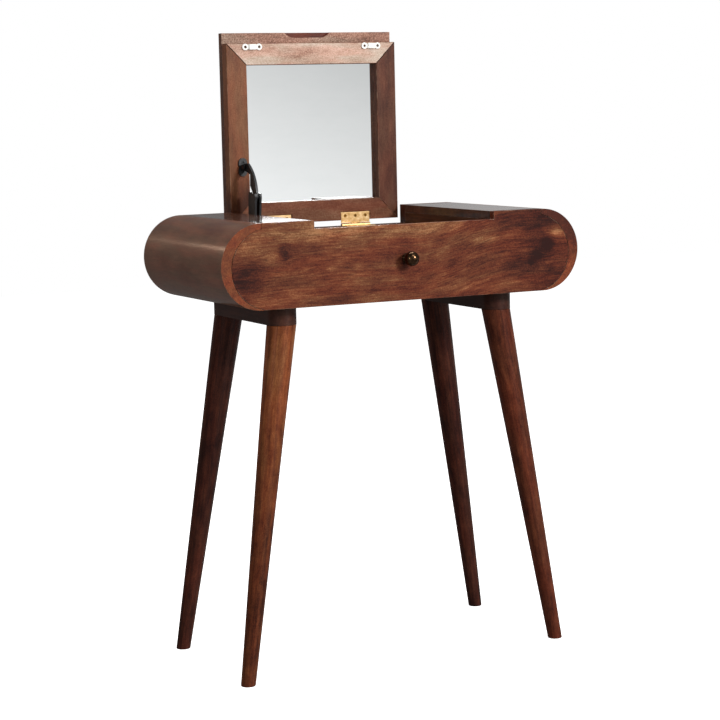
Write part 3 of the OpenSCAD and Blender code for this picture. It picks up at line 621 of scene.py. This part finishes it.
def lid_faces(place, normal):
    """The lid's front face, painted pale as a sheen, is 1, and the walls of its finger recess, painted
    dark as shade, are 2.
    """
    low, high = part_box("lid_board")
    if normal.y < -FACING:
        return 1 if place.y < low.y + 1 * MM else 2
    near_top = high.z - RECESS_REACH < place.z < high.z - 0.1 * MM
    in_recess = abs(place.x) < RECESS_REACH and place.y < high.y - 1 * MM and near_top
    return 2 if in_recess else 0


def face_of_frame(place, normal):
    """The top rail's front face, painted paler than its edges as a sheen, is 1."""
    return int(normal.y < -FACING)


def on_mitre(place):
    """How dark the joint line is at a point of the mirror frame: the lower mitres are tighter."""
    low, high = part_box("frame_bottom")
    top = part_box("frame_top")[1]
    to_side = min(place.x - low.x, high.x - place.x)
    to_end = min(place.z - low.z, top.z - place.z)
    if abs(to_side - to_end) > MITRE_WIDTH or place.y > low.y + 2 * MM:
        return 0.0
    return 1.0 if place.z > (low.z + top.z) / 2 else LOWER_MITRE


for side in ("left", "right"):
    shaped("end_cap_" + side, ("cap", "ring_" + side), "y", 0.9 * MM, pick=end_grain)
    shaped("top_board_" + side, ("top",), "x", 0.5 * MM)
    shaped("divider_" + side, ("inner",), "y", 0.5 * MM)
    shaped("drawer_runner_" + side, ("inner",), "y")
    shaped("batten_" + side, ("batten",), "y", 1.2 * MM)
    shaped("drawer_side_" + side, ("inner",), "y")
for node in ("bottom_board", "front_rail", "drawer_stops", "dowels", "drawer_subfront",
             "drawer_back", "drawer_bottom"):
    shaped(node, ("inner",), "x", 0.6 * MM)
shaped("back_panel", ("lid",), "x")
# the front's marks are placed on the grain of this seed
shaped("drawer_front", ("front",), "x", 0.7 * MM, seed=0.0)
shaped("lid_board", ("lid", "lip", "recess"), "x", pick=lid_faces)
shaped("frame_top", ("frame", "frame_painted_sheen"), "x", 1.0 * MM, pick=face_of_frame,
       seam=on_mitre)
shaped("frame_bottom", ("frame",), "x", 1.0 * MM, seam=on_mitre)
shaped("frame_left", ("stile_left",), "z", 1.0 * MM, seam=on_mitre)
shaped("frame_right", ("stile_right",), "z", 1.0 * MM, seam=on_mitre)


def leg_turn(node):
    """Turn that carries local X onto the leg's own line, from its foot to its top."""
    points = [v.co for v in frame["nodes"][node].data.vertices]
    low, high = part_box(node)
    ends = []
    for level in (low.z, high.z):
        rim = [p for p in points if abs(p.z - level) < 0.1 * MM]
        ends.append(sum(rim, Vector()) / len(rim))
    return (ends[1] - ends[0]).to_track_quat("X", "Z").to_matrix()


LEGS = {"leg_front_left": "leg_light", "leg_front_right": "leg_dark",
        "leg_back_left": "leg_back", "leg_back_right": "leg_back"}
for node, material in LEGS.items():
    shaped(node, (material,), width=1.5 * MM, turn=leg_turn(node))

# ---- Mirror ----

shaped("mirror_glass", ("mirror",), "x", 0.8 * MM)
shaped("mirror_backing", ("backing",), "x", 0.2 * MM)

# ---- Metal and plastic parts ----

KNOB_BALL = 12.5 * MM


def add_knob(b):
    """A turned ball on a short neck and a moulded foot, along the knob's own axis."""
    low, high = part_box("knob")
    place = Matrix.Translation((0, high.y, (low.z + high.z) / 2))
    place = place @ Vector((0, -1, 0)).to_track_quat("Z", "X").to_matrix().to_4x4()
    length = high.y - low.y
    middle_z = length - KNOB_BALL
    ball = [(KNOB_BALL * math.sin(a), middle_z + KNOB_BALL * math.cos(a))
            for a in (math.radians(step) for step in range(0, 152, 4))]
    ball[0] = (0, length)
    foot = [(5.6, 6.0), (5.7, 5.2), (6.2, 4.5), (7.2, 3.6), (8.0, 2.9), (8.1, 2.3), (8.7, 2.1),
            (9.0, 1.6), (9.0, 0.5), (8.7, 0.1)]
    lathe(b, place, ball + [(r * MM, z * MM) for r, z in foot] + [(0, 0)], 64)


for side in ("left", "right"):
    shaped("hinge_body_leaf_" + side, ("brass",), width=0.25 * MM, shortest=0.3 * MM)
    shaped("hinge_lid_leaf_" + side, ("brass",), width=0.25 * MM, shortest=0.3 * MM)
    shaped("catch_" + side, ("plastic",), width=0.5 * MM, shortest=0.35 * MM)
for node in ("hinge_pins", "leg_inserts"):
    shaped(node, ("brass",), width=0.15 * MM, shortest=0.2 * MM)
for node in ("stay_damper", "stay_lower_arm", "stay_upper_arm", "stay_lid_plate"):
    shaped(node, ("black",), width=0.6 * MM, shortest=0.4 * MM)
for node in ("leg_bolts", "strike_plates", "stay_damper_shaft", "stay_elbow_pin", "frame_brads",
             "stay_lid_pin", "knob_bolt"):
    shaped(node, ("dark_steel",), width=0.15 * MM, shortest=0.2 * MM)

SCREWS = {
    "back_screws": ("steel", "steel"), "batten_screws": ("steel", "steel"),
    "drawer_screws": ("steel", "steel"), "stay_damper_screws": ("steel", "dark_steel"),
    "catch_screws": ("steel", "dark_steel"), "stay_lid_screws": ("black_metal", "black"),
    "hinge_lid_screws": ("brass", "brass_dark"), "hinge_body_screws": ("brass", "brass_dark"),
}
for node, (slot, material) in SCREWS.items():
    turned_piece(node, (material,), lambda b: add_screws(b, node))
turned_piece("knob", ("bronze",), add_knob)

# ---- Studio ----

CAMERA_PLACE = Vector((-1.6483, -3.2600, 0.9565))
CAMERA_HEADING, CAMERA_DIP, CAMERA_ROLL = (math.radians(a) for a in (26.759, 7.079, -1.322))
CAMERA_LENS = 105.9
FLOOR_REACH = 14.0
# The light all round, by direction. Each side is a range of cosines to the glow's direction, each
# rise, fall and top a range of the direction's Z, and each light a brightness or a range of it. The
# wall's slope is its weights of X and Z, with the reach of their sum. The patch's bearing is X over Y
GLOW_WAY = (0.45, -0.893, 0.0)
GLOW_SIDE, GLOW_RISE, GLOW_FALL, GLOW_LIGHT = (0.84, 0.96), (0.024, 0.045), (0.14, 0.3), 1.3
ROOM_SIDE, ROOM_LIGHT = (-0.4, 0.9), (0.17, 0.36)
WALL_SLOPE, WALL_REACH = (1.9, 3.8), (0.588, 0.988)
WALL_SIDE, WALL_LIGHT = (0.93, 0.98), (0.97, 0.56)
PATCH_BEARING, PATCH_TOP, PATCH_LIGHT = (0.45, 0.60), (0.1, 0.3), 0.3


def add_camera():
    """The camera, in front of the table and to its left."""
    data = bpy.data.cameras.new("camera")
    data.lens = CAMERA_LENS
    data.sensor_width = 36.0
    data.clip_end = 100.0
    camera = bpy.data.objects.new("camera", data)
    bpy.context.scene.collection.objects.link(camera)
    turn = (
        Matrix.Rotation(-CAMERA_HEADING, 4, "Z")
        @ Matrix.Rotation(math.pi / 2 - CAMERA_DIP, 4, "X")
        @ Matrix.Rotation(CAMERA_ROLL, 4, "Z")
    )
    camera.matrix_world = Matrix.Translation(CAMERA_PLACE) @ turn
    bpy.context.scene.camera = camera


def plane(name, size, place, facing, material):
    """A flat card of the studio, with its face towards a direction."""
    mesh = bpy.data.meshes.new(name)
    b = bmesh.new()
    bmesh.ops.create_grid(b, x_segments=4, y_segments=4, size=0.5)
    bmesh.ops.scale(b, vec=(size[0], size[1], 1), verts=b.verts)
    b.to_mesh(mesh)
    b.free()
    mesh.materials.append(material)
    card = bpy.data.objects.new(name, mesh)
    bpy.context.scene.collection.objects.link(card)
    card.matrix_world = Matrix.Translation(place) @ facing.to_track_quat("Z", "Y").to_matrix().to_4x4()
    return card


def floor_material():
    """A pale floor, lit from within so that it stays as bright as the background."""
    m = Material("studio_floor", Emission_Strength=0.92)
    m.shader.inputs["Emission Color"].default_value = (1, 1, 1, 1)
    cloud = m.noise(m.node("TexCoord").outputs["Object"], (0.4, 0.4, 0.4), 3.0)
    return m.set(m.ramp(cloud, ("#eeeeee", "#f2f2f2")), m.spread(cloud, 0.3, 0.7, 0.75, 0.85))


def add_world():
    """White to the camera. As light: a large soft glow in front of the table, dim behind it."""
    world = bpy.data.worlds.new("studio")
    world.use_nodes = True
    bpy.context.scene.world = world
    t = Tree(world.node_tree)
    way = t.node("TexCoord").outputs["Generated"]
    axes = t.node("SeparateXYZ", {"Vector": way}).outputs
    ahead = t.vector("DOT_PRODUCT", way, GLOW_WAY)
    room = t.spread(ahead, *ROOM_SIDE, *ROOM_LIGHT, smooth=True)
    # what the mirror shows: a wall that darkens towards its upper right
    slope = t.total((WALL_SLOPE[0], axes["X"]), (WALL_SLOPE[1], axes["Z"]))
    wall = t.spread(slope, *WALL_REACH, *WALL_LIGHT)
    wall_share = t.spread(ahead, *WALL_SIDE, smooth=True)
    low = t.node("Mix", {0: wall_share, 2: room, 3: wall}).outputs[0]
    # the soft glow starts above that wall
    rise = t.spread(axes["Z"], *GLOW_RISE, smooth=True)
    fall = t.spread(axes["Z"], *GLOW_FALL, 1.0, 0.0, smooth=True)
    side = t.spread(ahead, *GLOW_SIDE, smooth=True)
    glow = t.math("MULTIPLY", t.math("MULTIPLY", rise, fall), side)
    # a lighter part of the room, which the right half of the top shows
    bearing = t.math("DIVIDE", axes["X"], t.math("MAXIMUM", axes["Y"], 0.1))
    behind = t.math("GREATER_THAN", axes["Y"], 0.0)
    patch = t.math("MULTIPLY", t.spread(bearing, *PATCH_BEARING, smooth=True),
                   t.spread(axes["Z"], *PATCH_TOP, 1.0, 0.0, smooth=True))
    patch = t.math("MULTIPLY", patch, behind)
    light = t.total((1.0, low), (GLOW_LIGHT, glow), (PATCH_LIGHT, patch))
    seen = t.node("LightPath").outputs["Is Camera Ray"]
    background = world.node_tree.nodes["Background"].inputs
    t.feed(background["Color"], t.mix(seen, light, (1, 1, 1, 1)))
    background["Strength"].default_value = 1.0


def softbox(name, place, size, power, target=(0, 0, 0.75), tint=(1, 1, 1), glossy=True):
    """A large soft lamp of the studio, in watts, aimed at a target."""
    data = bpy.data.lights.new(name, "AREA")
    data.shape = "RECTANGLE"
    data.size, data.size_y = size
    data.energy = power
    data.color = tint
    lamp = bpy.data.objects.new(name, data)
    bpy.context.scene.collection.objects.link(lamp)
    lamp.location = place
    lamp.rotation_euler = (Vector(target) - Vector(place)).to_track_quat("-Z", "Y").to_euler()
    lamp.visible_camera = False
    lamp.visible_glossy = glossy


add_camera()
floor = plane("floor", (FLOOR_REACH, FLOOR_REACH), Vector(), Vector((0, 0, 1)), floor_material())
floor.visible_glossy = False
floor.visible_diffuse = False
add_world()
softbox("key", (1.15, -2.8, 1.85), (0.5, 0.5), 66)
softbox("high", (0.1, -1.9, 3.0), (1.4, 0.9), 20)
softbox("fill", (-2.7, -1.5, 1.25), (0.7, 0.7), 8)
softbox("overhead", (0.2, 0.7, 2.9), (1.6, 0.8), 26)
# the warm streak along the left end, and a light for the back that no gloss shows
softbox("streak", (-1.75, 2.6, 1.75), (1.0, 0.26), 15, target=(-0.3, 0, 0.7), tint=(1.0, 0.66, 0.46))
softbox("behind", (0.3, 3.2, 1.3), (1.6, 1.0), 22, glossy=False)
bpy.context.scene.view_settings.view_transform = "Standard"

bpy.context.view_layer.update()
